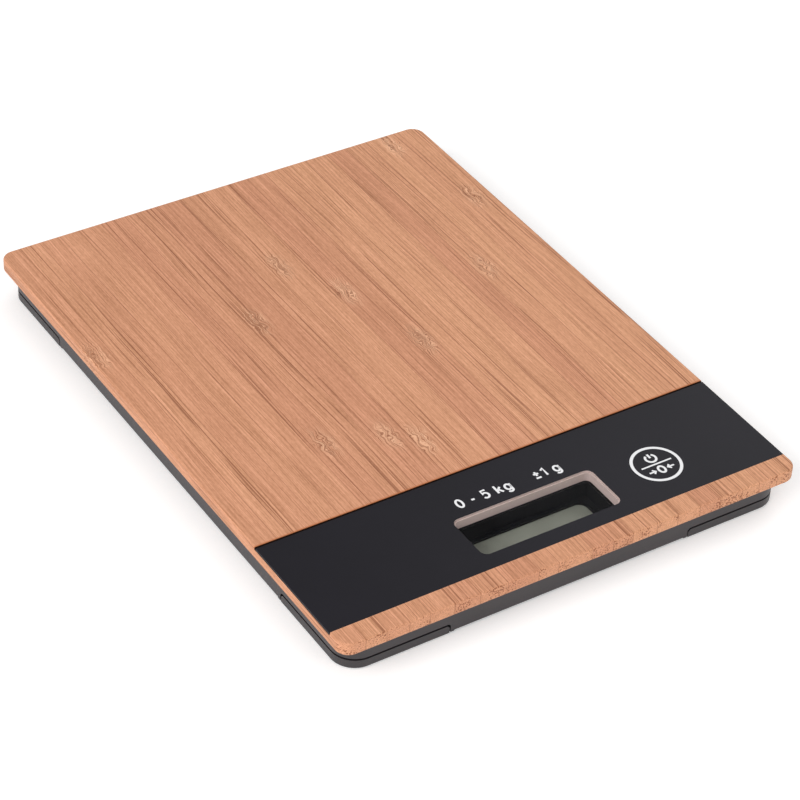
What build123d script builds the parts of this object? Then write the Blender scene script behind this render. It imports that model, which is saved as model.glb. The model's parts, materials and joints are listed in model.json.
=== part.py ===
from build123d import *
import os

# A flat kitchen scale: bamboo platform with an inlaid display panel, a black tray below it, and four
# corner feet that press on load cells. Millimetres. The origin is on the table under the middle of
# the platform; +X is to the user's right, the display is at the -Y end, and +Z is up.

# How far a cutting shape runs past the face that it opens
OVERCUT = 1.0

# Platform board
BOARD_WIDTH = 165.0
BOARD_LENGTH = 219.0
BOARD_THICKNESS = 4.8
BOARD_CORNER = 4.6
BOARD_TOP_ROUND = 0.6
BOARD_BOTTOM_ROUND = 1.1
OVERALL_HEIGHT = 14.8
BOARD_PILOT_DEPTH = 3.2

# Display panel, laid in a slot milled right across the board
SLOT_FRONT = -102.0
SLOT_BACK = -59.5
SLOT_DEPTH = 0.95
ADHESIVE = 0.1
PANEL_THICKNESS = 0.55
PANEL_BACK_GAP = 0.5
PANEL_SIDE_GAP = 0.1
WINDOW_WIDTH = 50.6
WINDOW_LENGTH = 17.8
WINDOW_CORNER = 2.4
WINDOW_Y = -86.9
WINDOW_LEDGE = 0.4
TOUCH_KEY = (44.9, -86.2)
TOUCH_HOLE = 5.2

# Tray
TRAY_WIDTH = 159.2
TRAY_LENGTH = 214.4
TRAY_Y = 0.7
TRAY_CORNER = 8.0
TRAY_WALL = 1.8
TRAY_FLOOR = 1.5
TRAY_CLEARANCE = 0.8
TRAY_EDGE = 0.5

# Feet and load cells
FOOT_SIDE = 36.0
FOOT_THICKNESS = 3.1
FOOT_EDGE = 0.5
FOOT_END_CHAMFER = 0.8
PAD_PROUD = 0.3
PAD_RECESS = 0.6
PAD_RADIUS = 8.0
GROOVE = 0.7
FOOT_END_GAP = 0.4
SHELF = 1.3
CELL_SIDE = 24.0
CELL_THICKNESS = 1.2
CELL_SEAT = 0.5
CELL_SLIT = 1.6
TONGUE_WIDTH = 9.0
TONGUE_LENGTH = 15.0
STEM_RADIUS = 3.0
RETAINER_THICKNESS = 1.3
RETAINER_OPENING = 16.0
RETAINER_SCREW = 14.1
RETAINER_TAB = 2.2
HOLE_GAP = 0.35
CELL_CORNER = 2.0
HOOK_OFFSET = 14.2
HOOK_SHIFT = 9.0
HOOK_THICKNESS = 1.0
HOOK_WIDTH = 4.0
HOOK_BARB = 0.9

# Ribs under the board
RIB_THICKNESS = 1.2
RIB_X = 30.0
RIB_Y_RANGE = (-45.0, 95.0)
CROSS_RIBS = (-20.0, 75.0)
WIRE_NOTCH = 6.0

# Electronics
LCD_WIDTH = 51.0
LCD_LENGTH = 17.8
LCD_LEDGE = 2.2
LCD_GLASS = 0.95
LCD_FOAM = 0.4
SHROUD_WALL = 1.0
SHROUD_COLLAR = 1.0
SHROUD_SCREW = 31.0
SHROUD_TAB = 3.5
SHROUD_TAB_THICKNESS = 1.4
SHROUD_GAP = 0.15
VIEW_WIDTH = 43.0
VIEW_LENGTH = 11.8
VIEW_CORNER = 3.0
BOARD_LIFT = 3.2
PCB_THICKNESS = 0.8
PCB_LEFT = -30.0
PCB_RIGHT = 48.0
PCB_FRONT = -75.0
PCB_BACK = -54.0
PCB_ARM = 9.0
PCB_ARM_FRONT = -94.6
PCB_SCREWS = ((-26.0, -58.0), (44.0, -58.0), (41.0, -92.6))
SWITCH = (-20.0, -66.0)
SWITCH_SIDE = 6.0
SWITCH_HEIGHT = 1.6
BUTTON_RADIUS = 3.0
BUTTON_COLLAR = 1.2
CHIP = (6.0, -64.0)
WIRE_RADIUS = 0.55
WIRE_PITCH = 1.3
WIRE_BEND = 3.0

# Battery: one CR2032 coin cell behind a hooked door in the tray floor
COIN_RADIUS = 10.0
COIN_THICKNESS = 3.2
COIN_Y = 35.0
DOOR_WIDTH = 30.0
DOOR_LENGTH = 26.0
DOOR_THICKNESS = 1.2
DOOR_GAP = 0.3
HINGE_RADIUS = 0.6
HINGE_PIN = 1.5
HOUSING_WALL = 2.5
CONTACT_WIDTH = 2.6
CONTACT_SHEET = 0.25

# Screws that hold the tray to the board
TRAY_SCREWS = ((-72.0, -45.0), (72.0, -45.0), (-72.0, 50.0), (72.0, 50.0), (0.0, -100.5), (0.0, 98.0))
TRAY_SCREW_RADIUS = 1.5
TRAY_SCREW_HEAD = 2.8
TRAY_SCREW_SINK = 4.0
TRAY_BOSS = 4.4
PCB_BOSS = 2.4
SHROUD_BOSS = 2.6

# Levels above the table
foot_bottom = PAD_PROUD
foot_top = foot_bottom + FOOT_THICKNESS
tray_bottom = TRAY_CLEARANCE
floor_top = tray_bottom + TRAY_FLOOR
board_top = OVERALL_HEIGHT
board_bottom = board_top - BOARD_THICKNESS
slot_floor = board_top - SLOT_DEPTH
panel_bottom = slot_floor + ADHESIVE
panel_top = panel_bottom + PANEL_THICKNESS
shelf_bottom = foot_top + GROOVE
shelf_top = shelf_bottom + SHELF
cell_bottom = shelf_top + CELL_SEAT
cell_top = cell_bottom + CELL_THICKNESS
retainer_top = cell_top + RETAINER_THICKNESS
lcd_bottom = floor_top + LCD_FOAM
lcd_ledge_top = lcd_bottom + LCD_GLASS
lcd_top = lcd_ledge_top + LCD_GLASS
shroud_bottom = lcd_top + 0.1
shroud_top = board_bottom + SHROUD_COLLAR
pcb_bottom = floor_top + BOARD_LIFT
pcb_top = pcb_bottom + PCB_THICKNESS
coin_bottom = tray_bottom + DOOR_THICKNESS + 0.5
coin_top = coin_bottom + COIN_THICKNESS

SIDES = {"left": -1, "right": 1}
ENDS = {"front": -1, "back": 1}
CORNERS = {f"{end}_{side}": (SIDES[side], ENDS[end]) for end in ENDS for side in SIDES}
UPRIGHT = (Align.CENTER, Align.CENTER, Align.MIN)


def block(x_range, y_range, z_range):
    """A box between the given low and high limits."""
    sizes = [high - low for low, high in (x_range, y_range, z_range)]
    return Pos(sum(x_range) / 2, sum(y_range) / 2, z_range[0]) * Box(*sizes, align=UPRIGHT)


def slab(width, length, corner, z_range, centre=(0.0, 0.0)):
    """A rounded rectangular slab between two levels."""
    outline = RectangleRounded(width, length, corner)
    return Pos(centre[0], centre[1], z_range[0]) * extrude(outline, z_range[1] - z_range[0])


def rod(x, y, radius, z_range):
    """An upright cylinder between two levels."""
    return Pos(x, y, z_range[0]) * Cylinder(radius, z_range[1] - z_range[0], align=UPRIGHT)


def group(solids):
    """Several separate solids kept together in one node."""
    return Compound(children=list(solids))


def foot_centre(side, end):
    return (
        side * (TRAY_WIDTH - FOOT_SIDE) / 2,
        TRAY_Y + end * (TRAY_LENGTH - FOOT_SIDE) / 2,
    )


def tray_outline(inset, z_range):
    """The tray's plan outline, drawn in by inset, between two levels."""
    return slab(
        TRAY_WIDTH - 2 * inset,
        TRAY_LENGTH - 2 * inset,
        TRAY_CORNER - inset,
        z_range,
        (0.0, TRAY_Y),
    )


def corner_block(side, end, reach, z_range):
    """A square block that covers one tray corner and reaches inwards from it."""
    outside = 5.0
    x_outer = side * (TRAY_WIDTH / 2 + outside)
    x_inner = side * (TRAY_WIDTH / 2 - reach)
    y_outer = TRAY_Y + end * (TRAY_LENGTH / 2 + outside)
    y_inner = TRAY_Y + end * (TRAY_LENGTH / 2 - reach)
    return block(sorted((x_outer, x_inner)), sorted((y_outer, y_inner)), z_range)


def chamfered_corner_block(side, end, reach, z_range):
    """A corner block whose two inner top edges are chamfered."""
    solid = corner_block(side, end, reach, z_range)
    top = solid.faces().sort_by(Axis.Z)[-1]
    inner_x = top.edges().sort_by(Axis.X)[0 if side > 0 else -1]
    inner_y = top.edges().sort_by(Axis.Y)[0 if end > 0 else -1]
    return chamfer([inner_x, inner_y], FOOT_END_CHAMFER)


def platform_board():
    solid = slab(BOARD_WIDTH, BOARD_LENGTH, BOARD_CORNER, (board_bottom, board_top))
    solid = fillet(solid.faces().sort_by(Axis.Z)[-1].edges(), BOARD_TOP_ROUND)
    solid = fillet(solid.faces().sort_by(Axis.Z)[0].edges(), BOARD_BOTTOM_ROUND)
    half = BOARD_WIDTH
    solid -= block((-half, half), (SLOT_FRONT, SLOT_BACK), (slot_floor, board_top + OVERCUT))
    opening = slab(
        WINDOW_WIDTH - 2 * WINDOW_LEDGE,
        WINDOW_LENGTH - 2 * WINDOW_LEDGE,
        WINDOW_CORNER - WINDOW_LEDGE,
        (board_bottom - OVERCUT, board_top),
        (0.0, WINDOW_Y),
    )
    solid -= opening
    solid -= rod(*TOUCH_KEY, TOUCH_HOLE, (board_bottom - OVERCUT, board_top))
    for x, y in TRAY_SCREWS:
        pilot = (board_bottom - OVERCUT, board_bottom + BOARD_PILOT_DEPTH)
        solid -= rod(x, y, TRAY_SCREW_RADIUS + 0.05, pilot)
    return solid


def panel_sheet(z_range, window_gap):
    """A sheet as large as the display panel, open at the window."""
    half = BOARD_WIDTH / 2 - PANEL_SIDE_GAP
    sheet = block(
        (-half, half),
        (SLOT_FRONT + PANEL_SIDE_GAP, SLOT_BACK - PANEL_BACK_GAP),
        z_range,
    )
    width = WINDOW_WIDTH + 2 * window_gap
    length = WINDOW_LENGTH + 2 * window_gap
    corner = WINDOW_CORNER + window_gap
    through = (z_range[0] - OVERCUT, z_range[1] + OVERCUT)
    return sheet - slab(width, length, corner, through, (0.0, WINDOW_Y))


def display_window():
    z_range = (slot_floor, panel_top)
    return slab(WINDOW_WIDTH, WINDOW_LENGTH, WINDOW_CORNER, z_range, (0.0, WINDOW_Y))


def display_shroud():
    """The frame between the LCD and the window: a collar in the board's opening and a bezel below."""
    collar_inset = WINDOW_LEDGE + SHROUD_GAP
    collar_width = WINDOW_WIDTH - 2 * collar_inset
    collar_length = WINDOW_LENGTH - 2 * collar_inset
    collar_corner = WINDOW_CORNER - 0.5
    centre = (0.0, WINDOW_Y)
    body_top = board_bottom - 0.1
    solid = slab(WINDOW_WIDTH, WINDOW_LENGTH, WINDOW_CORNER, (shroud_bottom, body_top), centre)
    solid += slab(collar_width, collar_length, collar_corner, (shroud_bottom, shroud_top), centre)
    solid -= slab(
        collar_width - 2 * SHROUD_WALL,
        collar_length - 2 * SHROUD_WALL,
        collar_corner - SHROUD_WALL,
        (shroud_bottom + SHROUD_WALL, shroud_top + OVERCUT),
        centre,
    )
    view_range = (shroud_bottom - OVERCUT, shroud_bottom + SHROUD_WALL + OVERCUT)
    solid -= slab(VIEW_WIDTH, VIEW_LENGTH, VIEW_CORNER, view_range, centre)
    tab_top = shroud_bottom + SHROUD_TAB_THICKNESS
    for side in SIDES.values():
        root = side * (WINDOW_WIDTH / 2 - 0.5)
        tab_x = sorted((root, side * (SHROUD_SCREW + SHROUD_TAB)))
        tab_y = (WINDOW_Y - SHROUD_TAB, WINDOW_Y + SHROUD_TAB)
        solid += block(tab_x, tab_y, (shroud_bottom, tab_top))
        through = (shroud_bottom - OVERCUT, tab_top + OVERCUT)
        solid -= rod(side * SHROUD_SCREW, WINDOW_Y, 1.2, through)
    return solid


def lcd_panel():
    """Two bonded glasses; the lower one is longer at the back, where the foil is joined to it."""
    front = WINDOW_Y - LCD_LENGTH / 2
    back = WINDOW_Y + LCD_LENGTH / 2
    half = LCD_WIDTH / 2
    lower = block((-half, half), (front, back + LCD_LEDGE), (lcd_bottom, lcd_ledge_top))
    return lower + block((-half, half), (front, back), (lcd_bottom, lcd_top))


def lcd_foam_pad():
    half = LCD_WIDTH / 2 - 2
    front = WINDOW_Y - LCD_LENGTH / 2 + 2
    back = WINDOW_Y + LCD_LENGTH / 2
    return block((-half, half), (front, back), (floor_top, lcd_bottom))


def lcd_foil_connector():
    """Printed foil from the LCD's ledge up to the underside of the circuit board."""
    foil = 0.12
    ledge = WINDOW_Y + LCD_LENGTH / 2
    low = lcd_ledge_top
    high = pcb_bottom - foil
    path = ((ledge + 0.4, low), (ledge + 2.0, low), (PCB_FRONT + 1.0, high), (PCB_FRONT + 4.0, high))
    upper = [(y, z + foil) for y, z in reversed(path)]
    outline = Polyline(*path, *upper, close=True)
    width = 30.0
    return Pos(-width / 2, 0, 0) * extrude(Plane.YZ * make_face(outline), width)


def main_pcb():
    solid = block((PCB_LEFT, PCB_RIGHT), (PCB_FRONT, PCB_BACK), (pcb_bottom, pcb_top))
    arm = (PCB_RIGHT - PCB_ARM, PCB_RIGHT)
    solid += block(arm, (PCB_ARM_FRONT, PCB_FRONT), (pcb_bottom, pcb_top))
    for x, y in PCB_SCREWS:
        solid -= rod(x, y, 1.1, (pcb_bottom - OVERCUT, pcb_top + OVERCUT))
    return solid


def controller_chip():
    """The chip under its drop of black resin."""
    radius, height = 4.6, 1.6
    ball = (radius**2 + height**2) / (2 * height)
    dome = Pos(*CHIP, pcb_top + height - ball) * Sphere(ball)
    return dome & rod(*CHIP, radius + OVERCUT, (pcb_top, pcb_top + height + OVERCUT))


def chip_row(count, x_start, y, pitch, sizes):
    """A row of identical small surface-mounted parts."""
    width, length, height = sizes
    for index in range(count):
        x = x_start + index * pitch
        yield block(
            (x - width / 2, x + width / 2),
            (y - length / 2, y + length / 2),
            (pcb_top, pcb_top + height),
        )


def touch_spring():
    """Coil that joins the circuit board to the underside of the touch key."""
    wire = 0.3
    coil = 3.2
    turns = 5
    height = slot_floor - pcb_top - 2 * wire - 0.1
    path = Helix(pitch=height / turns, height=height, radius=coil)
    section = Plane(origin=path @ 0, z_dir=path % 0) * Circle(wire)
    return Pos(*TOUCH_KEY, pcb_top + wire + 0.05) * sweep(section, path=path, is_frenet=True)


def unit_switch():
    x, y = SWITCH
    half = SWITCH_SIDE / 2
    bottom = pcb_bottom - SWITCH_HEIGHT
    solid = block((x - half, x + half), (y - half, y + half), (bottom, pcb_bottom))
    return solid - rod(x, y, 1.5, (bottom - OVERCUT, pcb_bottom - 0.5))


def switch_plunger():
    return rod(*SWITCH, 1.2, (floor_top + 0.7, pcb_bottom - 1.0))


def unit_button():
    """Pushed from below; its collar keeps it in the tray and its face is set back from the floor."""
    collar_bottom = floor_top + 0.1
    collar_top = collar_bottom + 0.6
    solid = rod(*SWITCH, BUTTON_RADIUS, (tray_bottom + 0.5, collar_bottom))
    solid = fillet(solid.faces().sort_by(Axis.Z)[0].edges(), 0.3)
    return solid + rod(*SWITCH, BUTTON_RADIUS + BUTTON_COLLAR, (collar_bottom, collar_top))


def foot_recess(side, end):
    """The room in a tray corner for one foot."""
    reach = FOOT_SIDE + FOOT_END_GAP
    return chamfered_corner_block(side, end, reach, (tray_bottom - OVERCUT, shelf_bottom))


def corner_shelf(side, end):
    """The raised floor over one foot, with the seats and bosses for its load cell."""
    x, y = foot_centre(side, end)
    reach = FOOT_SIDE + FOOT_END_GAP + SHELF
    solid = corner_block(side, end, reach, (tray_bottom, shelf_top))
    solid &= tray_outline(0, (tray_bottom, shelf_top))
    half = CELL_SIDE / 2
    for flank in (-1, 1):
        seat = sorted((x + flank * half, x + flank * (half - 3)))
        solid += block(seat, (y - half, y + half), (shelf_top, cell_bottom))
        solid += rod(x, y + flank * RETAINER_SCREW, 1.8, (shelf_top, cell_top))
    return solid


def corner_holes(side, end):
    """What is cut from one tray corner: the stem hole, the hook slots and the screw pilots."""
    x, y = foot_centre(side, end)
    cut = rod(x, y, STEM_RADIUS + 0.4, (tray_bottom, cell_bottom))
    half_width = HOOK_WIDTH / 2 + HOLE_GAP
    for flank in (-1, 1):
        near = HOOK_OFFSET - HOOK_THICKNESS / 2 - HOLE_GAP
        far = HOOK_OFFSET + HOOK_THICKNESS / 2 + HOLE_GAP
        slot = sorted((x + flank * near, x + flank * far))
        hook_y = y + end * HOOK_SHIFT
        y_range = (hook_y - half_width, hook_y + half_width)
        cut += block(slot, y_range, (tray_bottom, shelf_top + OVERCUT))
        pilot = (shelf_top + 0.2, cell_top + OVERCUT)
        cut += rod(x, y + flank * RETAINER_SCREW, 0.8, pilot)
    return cut


def battery_housing():
    half_width = DOOR_WIDTH / 2 + HOUSING_WALL
    half_length = DOOR_LENGTH / 2 + HOUSING_WALL
    y_range = (COIN_Y - half_length, COIN_Y + half_length)
    return block((-half_width, half_width), y_range, (tray_bottom, coin_top + 2.2))


def battery_cavity():
    """The door's opening, the coin cell's pocket and the channel for contacts and wires."""
    half_width = DOOR_WIDTH / 2 + DOOR_GAP
    half_length = DOOR_LENGTH / 2 + DOOR_GAP
    door_top = tray_bottom + DOOR_THICKNESS
    y_range = (COIN_Y - half_length, COIN_Y + half_length)
    cut = block((-half_width, half_width), y_range, (tray_bottom - OVERCUT, door_top + DOOR_GAP))
    cut += rod(0, COIN_Y, COIN_RADIUS + 0.4, (door_top, coin_top + OVERCUT))
    channel = (COIN_Y - DOOR_LENGTH / 2 - 4, COIN_Y - COIN_RADIUS + 1)
    cut += block((-6, 6), channel, (coin_bottom + 1, coin_top + 3))
    hinge_y = COIN_Y + DOOR_LENGTH / 2 - HINGE_RADIUS
    pin_length = DOOR_WIDTH + 2 * HINGE_PIN + 0.6
    pin = Rot(0, 90, 0) * Cylinder(HINGE_RADIUS + 0.05, pin_length)
    cut += Pos(0, hinge_y, tray_bottom + HINGE_RADIUS) * pin
    finger = rod(0, COIN_Y - half_length, 5.0, (tray_bottom - OVERCUT, tray_bottom + 0.7))
    return cut + finger


def tray_ribs():
    """Ribs that stiffen the floor and stop just under the board."""
    half = RIB_THICKNESS / 2
    z_range = (floor_top - 0.2, board_bottom - 0.1)
    solids = []
    for side in SIDES.values():
        x = side * RIB_X
        solids.append(block((x - half, x + half), RIB_Y_RANGE, z_range))
    for y in CROSS_RIBS:
        solids.append(block((-RIB_X, RIB_X), (y - half, y + half), z_range))
    return solids


def tray_bosses():
    """Posts for the board, circuit board and shroud screws."""
    solids = [rod(x, y, TRAY_BOSS, (tray_bottom, board_bottom)) for x, y in TRAY_SCREWS]
    solids += [rod(x, y, PCB_BOSS, (tray_bottom, pcb_bottom)) for x, y in PCB_SCREWS]
    for side in SIDES.values():
        x = side * SHROUD_SCREW
        solids.append(rod(x, WINDOW_Y, SHROUD_BOSS, (tray_bottom, shroud_bottom)))
    return solids


def tray_boss_holes():
    """Countersinks and shank holes for the tray screws, pilots for the smaller ones."""
    sink = (tray_bottom - OVERCUT, tray_bottom + TRAY_SCREW_SINK)
    shank = (tray_bottom, board_bottom + OVERCUT)
    cuts = []
    for x, y in TRAY_SCREWS:
        cuts.append(rod(x, y, TRAY_SCREW_HEAD + 0.3, sink))
        cuts.append(rod(x, y, TRAY_SCREW_RADIUS + 0.1, shank))
    for x, y in PCB_SCREWS:
        cuts.append(rod(x, y, 0.85, (floor_top, pcb_bottom + OVERCUT)))
    for side in SIDES.values():
        pilot = (floor_top - 0.5, shroud_bottom + OVERCUT)
        cuts.append(rod(side * SHROUD_SCREW, WINDOW_Y, 0.95, pilot))
    return cuts


def base_tray():
    solid = tray_outline(0, (tray_bottom, board_bottom))
    solid = fillet(solid.faces().sort_by(Axis.Z)[0].edges(), TRAY_EDGE)
    solid -= tray_outline(TRAY_WALL, (floor_top, board_bottom + OVERCUT))
    for side, end in CORNERS.values():
        solid += corner_shelf(side, end)
    solid += tray_bosses()
    solid += tray_ribs()
    solid += battery_housing()
    for side, end in CORNERS.values():
        solid -= foot_recess(side, end)
        solid -= corner_holes(side, end)
    solid -= tray_boss_holes()
    solid -= battery_cavity()
    solid -= rod(*SWITCH, BUTTON_RADIUS + 0.3, (tray_bottom - OVERCUT, floor_top + OVERCUT))
    notch_y = (CROSS_RIBS[0] - RIB_THICKNESS, CROSS_RIBS[0] + RIB_THICKNESS)
    solid -= block((-WIRE_NOTCH, WIRE_NOTCH), notch_y, (pcb_bottom, board_bottom))
    return solid


def foot(side, end):
    x, y = foot_centre(side, end)
    solid = chamfered_corner_block(side, end, FOOT_SIDE, (foot_bottom, foot_top))
    solid &= tray_outline(0, (foot_bottom, foot_top))
    solid = fillet(solid.faces().sort_by(Axis.Z)[0].edges(), FOOT_EDGE)
    solid -= rod(x, y, PAD_RADIUS + 0.05, (foot_bottom - OVERCUT, foot_bottom + PAD_RECESS))
    solid += rod(x, y, STEM_RADIUS, (foot_top - 0.5, cell_bottom - 0.05))
    barb_bottom = shelf_top + 0.05
    hook_top = barb_bottom + 0.65
    hook_y = y + end * HOOK_SHIFT
    y_range = (hook_y - HOOK_WIDTH / 2, hook_y + HOOK_WIDTH / 2)
    for flank in (-1, 1):
        near = x + flank * (HOOK_OFFSET - HOOK_THICKNESS / 2)
        far = x + flank * (HOOK_OFFSET + HOOK_THICKNESS / 2)
        tip = far + flank * HOOK_BARB
        solid += block(sorted((near, far)), y_range, (foot_top - 0.5, hook_top))
        solid += block(sorted((near, tip)), y_range, (barb_bottom, hook_top))
    return solid


def foot_pad(side, end):
    x, y = foot_centre(side, end)
    solid = rod(x, y, PAD_RADIUS, (0, foot_bottom + PAD_RECESS))
    return fillet(solid.faces().sort_by(Axis.Z)[0].edges(), 0.2)


def load_cell(side, end):
    """Spring-steel plate held at its rim; the foot presses on the free tip of its tongue."""
    x, y = foot_centre(side, end)
    solid = slab(CELL_SIDE, CELL_SIDE, CELL_CORNER, (cell_bottom, cell_top), (x, y))
    half = TONGUE_WIDTH / 2
    tip = TONGUE_LENGTH / 2 - 2.0
    z_range = (cell_bottom - OVERCUT, cell_top + OVERCUT)
    root = tip - TONGUE_LENGTH
    for flank in (-1, 1):
        slit = sorted((x + flank * half, x + flank * (half + CELL_SLIT)))
        solid -= block(slit, sorted((y + end * root, y + end * (tip + CELL_SLIT))), z_range)
    across = (x - half - CELL_SLIT, x + half + CELL_SLIT)
    solid -= block(across, sorted((y + end * tip, y + end * (tip + CELL_SLIT))), z_range)
    return solid


def strain_gauges():
    """Two foil gauges on every load cell, by the root of its tongue."""
    for side, end in CORNERS.values():
        x, y = foot_centre(side, end)
        for flank in (-1, 1):
            centre = x + flank * 1.9
            y_range = sorted((y - end * 7.6, y - end * 4.4))
            yield block((centre - 1.2, centre + 1.2), y_range, (cell_top, cell_top + 0.25))


def cell_retainer(side, end):
    """Frame that clamps the load cell's rim; a notch in it lets the wires out."""
    x, y = foot_centre(side, end)
    z_range = (cell_top, retainer_top)
    solid = slab(CELL_SIDE, CELL_SIDE, CELL_CORNER, z_range, (x, y))
    reach = RETAINER_SCREW + 1.7
    solid += block((x - RETAINER_TAB, x + RETAINER_TAB), (y - reach, y + reach), z_range)
    cut_range = (cell_top - OVERCUT, retainer_top + OVERCUT)
    solid -= slab(RETAINER_OPENING, RETAINER_OPENING, 1.5, cut_range, (x, y))
    notch_x = sorted((x - side * 3.4, x - side * 8.6))
    notch_y = sorted((y - end * 6, y - end * 13))
    solid -= block(notch_x, notch_y, cut_range)
    for flank in (-1, 1):
        solid -= rod(x, y + flank * RETAINER_SCREW, 0.95, cut_range)
    return solid


def screw(x, y, seat, shank, head, tip, upward):
    """A cross-head screw: seat is the level under its head, tip the level of its other end."""
    head_height = head * 0.6
    if upward:
        head_range, shank_range = (seat - head_height, seat), (seat, tip)
        slot_range = (seat - head_height - OVERCUT, seat - head_height / 2)
    else:
        head_range, shank_range = (seat, seat + head_height), (tip, seat)
        slot_range = (seat + head_height / 2, seat + head_height + OVERCUT)
    solid = rod(x, y, head, head_range) + rod(x, y, shank, shank_range)
    long, short = head * 0.6, head * 0.13
    solid -= block((x - long, x + long), (y - short, y + short), slot_range)
    solid -= block((x - short, x + short), (y - long, y + long), slot_range)
    return solid


def tray_screws():
    seat = tray_bottom + TRAY_SCREW_SINK
    tip = board_bottom + BOARD_PILOT_DEPTH - 0.2
    for x, y in TRAY_SCREWS:
        yield screw(x, y, seat, TRAY_SCREW_RADIUS, TRAY_SCREW_HEAD, tip, True)


def retainer_screws():
    for side, end in CORNERS.values():
        x, y = foot_centre(side, end)
        for flank in (-1, 1):
            screw_y = y + flank * RETAINER_SCREW
            yield screw(x, screw_y, retainer_top, 0.75, 1.5, shelf_top + 0.3, False)


def pcb_screws():
    for x, y in PCB_SCREWS:
        yield screw(x, y, pcb_top, 0.8, 1.7, floor_top + 0.2, False)


def shroud_screws():
    for side in SIDES.values():
        seat = shroud_bottom + SHROUD_TAB_THICKNESS
        yield screw(side * SHROUD_SCREW, WINDOW_Y, seat, 0.9, 1.9, floor_top - 0.2, False)


def wire(points):
    """A round insulated wire along a path with rounded bends."""
    path = FilletPolyline(*points, radius=WIRE_BEND)
    section = Plane(origin=path @ 0, z_dir=path % 0) * Circle(WIRE_RADIUS)
    return sweep(section, path=path)


def sensor_wires(side, end):
    """Three wires from one load cell to the edge of the circuit board."""
    x, y = foot_centre(side, end)
    level = cell_top + WIRE_RADIUS + 0.1
    row = -68.5 if end < 0 else -60.5
    start = y - end * 7.0
    edge = PCB_RIGHT - 1.0 if side > 0 else PCB_LEFT + 1.0
    for index in (-1, 0, 1):
        shift = index * WIRE_PITCH
        run_x = x - side * 6.0 + shift
        run_y = row - end * side * shift
        yield wire(((run_x, start, level), (run_x, run_y, level), (edge, run_y, level)))


def battery_wires():
    """The positive and negative leads from the contacts to the circuit board."""
    level = pcb_top + WIRE_RADIUS + 0.1
    start = COIN_Y - DOOR_LENGTH / 2 - 1.5
    for x in (-3.5, 3.5):
        spread = x * 3
        yield wire(((x, start, level), (x, -35, level), (spread, -45, level), (spread, -55, level)))


def battery_door():
    """Flat door with a round hinge edge whose two pins turn in the tray."""
    door_top = tray_bottom + DOOR_THICKNESS
    half = DOOR_WIDTH / 2
    hinge_y = COIN_Y + DOOR_LENGTH / 2 - HINGE_RADIUS
    solid = block((-half, half), (COIN_Y - DOOR_LENGTH / 2, hinge_y), (tray_bottom, door_top))
    solid += Pos(0, hinge_y, tray_bottom + HINGE_RADIUS) * Rot(0, 90, 0) * Cylinder(
        HINGE_RADIUS, DOOR_WIDTH + 2 * HINGE_PIN
    )
    for index in range(5):
        y = COIN_Y - DOOR_LENGTH / 2 + 2.5 + index * 1.4
        solid -= block((-6, 6), (y - 0.3, y + 0.3), (tray_bottom - OVERCUT, tray_bottom + 0.3))
    return solid


def coin_cell():
    """Can and cap of the cell; the cap is a little narrower and stands proud at the top."""
    can = rod(0, COIN_Y, COIN_RADIUS, (coin_bottom, coin_top - 0.5))
    can = fillet(can.faces().sort_by(Axis.Z)[0].edges(), 0.5)
    return can + rod(0, COIN_Y, COIN_RADIUS - 1.2, (coin_bottom + 1, coin_top))


def battery_contact_negative():
    """Leaf that presses on the top of the cell."""
    top = coin_top + 1.0
    y_end = COIN_Y - DOOR_LENGTH / 2 - 1.5
    path = (
        (y_end, top - CONTACT_SHEET),
        (COIN_Y - 7, top - CONTACT_SHEET),
        (COIN_Y - 3, coin_top),
        (COIN_Y + 1, coin_top),
        (COIN_Y + 4, top - 0.5),
    )
    upper = [(y, z + CONTACT_SHEET) for y, z in reversed(path)]
    outline = Polyline(*path, *upper, close=True)
    return Pos(2.2, 0, 0) * extrude(Plane.YZ * make_face(outline), CONTACT_WIDTH)


def battery_contact_positive():
    """Clip that touches the side of the can."""
    side_y = COIN_Y - COIN_RADIUS - 0.35
    y_end = COIN_Y - DOOR_LENGTH / 2 - 1.5
    x_range = (-2.2 - CONTACT_WIDTH, -2.2)
    near = side_y - 0.45
    far = near - CONTACT_SHEET
    top = coin_top + 0.6
    upright = block(x_range, (far, near), (coin_bottom + 1.2, top))
    tail = block(x_range, (y_end, near), (top - CONTACT_SHEET, top))
    touch = block((-4.0, -3.0), (far, side_y + 0.9), (coin_bottom + 1.3, coin_bottom + 1.6))
    return upright + tail + touch


NODES = {
    "platform_board": platform_board(),
    "display_panel": panel_sheet((panel_bottom, panel_top), 0.05),
    "panel_adhesive": panel_sheet((slot_floor, panel_bottom), 0.6),
    "display_window": display_window(),
    "display_shroud": display_shroud(),
    "lcd_panel": lcd_panel(),
    "lcd_foam_pad": lcd_foam_pad(),
    "lcd_foil_connector": lcd_foil_connector(),
    "main_pcb": main_pcb(),
    "controller_chip": controller_chip(),
    "pcb_capacitors": group(chip_row(4, -16.0, -59.0, 5.0, (2.0, 1.3, 1.2))),
    "pcb_resistors": group(chip_row(7, 14.0, -62.0, 3.2, (0.9, 1.7, 0.5))),
    "touch_spring": touch_spring(),
    "unit_switch": unit_switch(),
    "switch_plunger": switch_plunger(),
    "unit_button": unit_button(),
    "base_tray": base_tray(),
    "strain_gauges": group(strain_gauges()),
    "coin_cell": coin_cell(),
    "battery_contact_positive": battery_contact_positive(),
    "battery_contact_negative": battery_contact_negative(),
    "battery_door": battery_door(),
    "tray_screws": group(tray_screws()),
    "retainer_screws": group(retainer_screws()),
    "shroud_screws": group(shroud_screws()),
    "pcb_screws": group(pcb_screws()),
    "battery_wires": group(battery_wires()),
}
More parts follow.
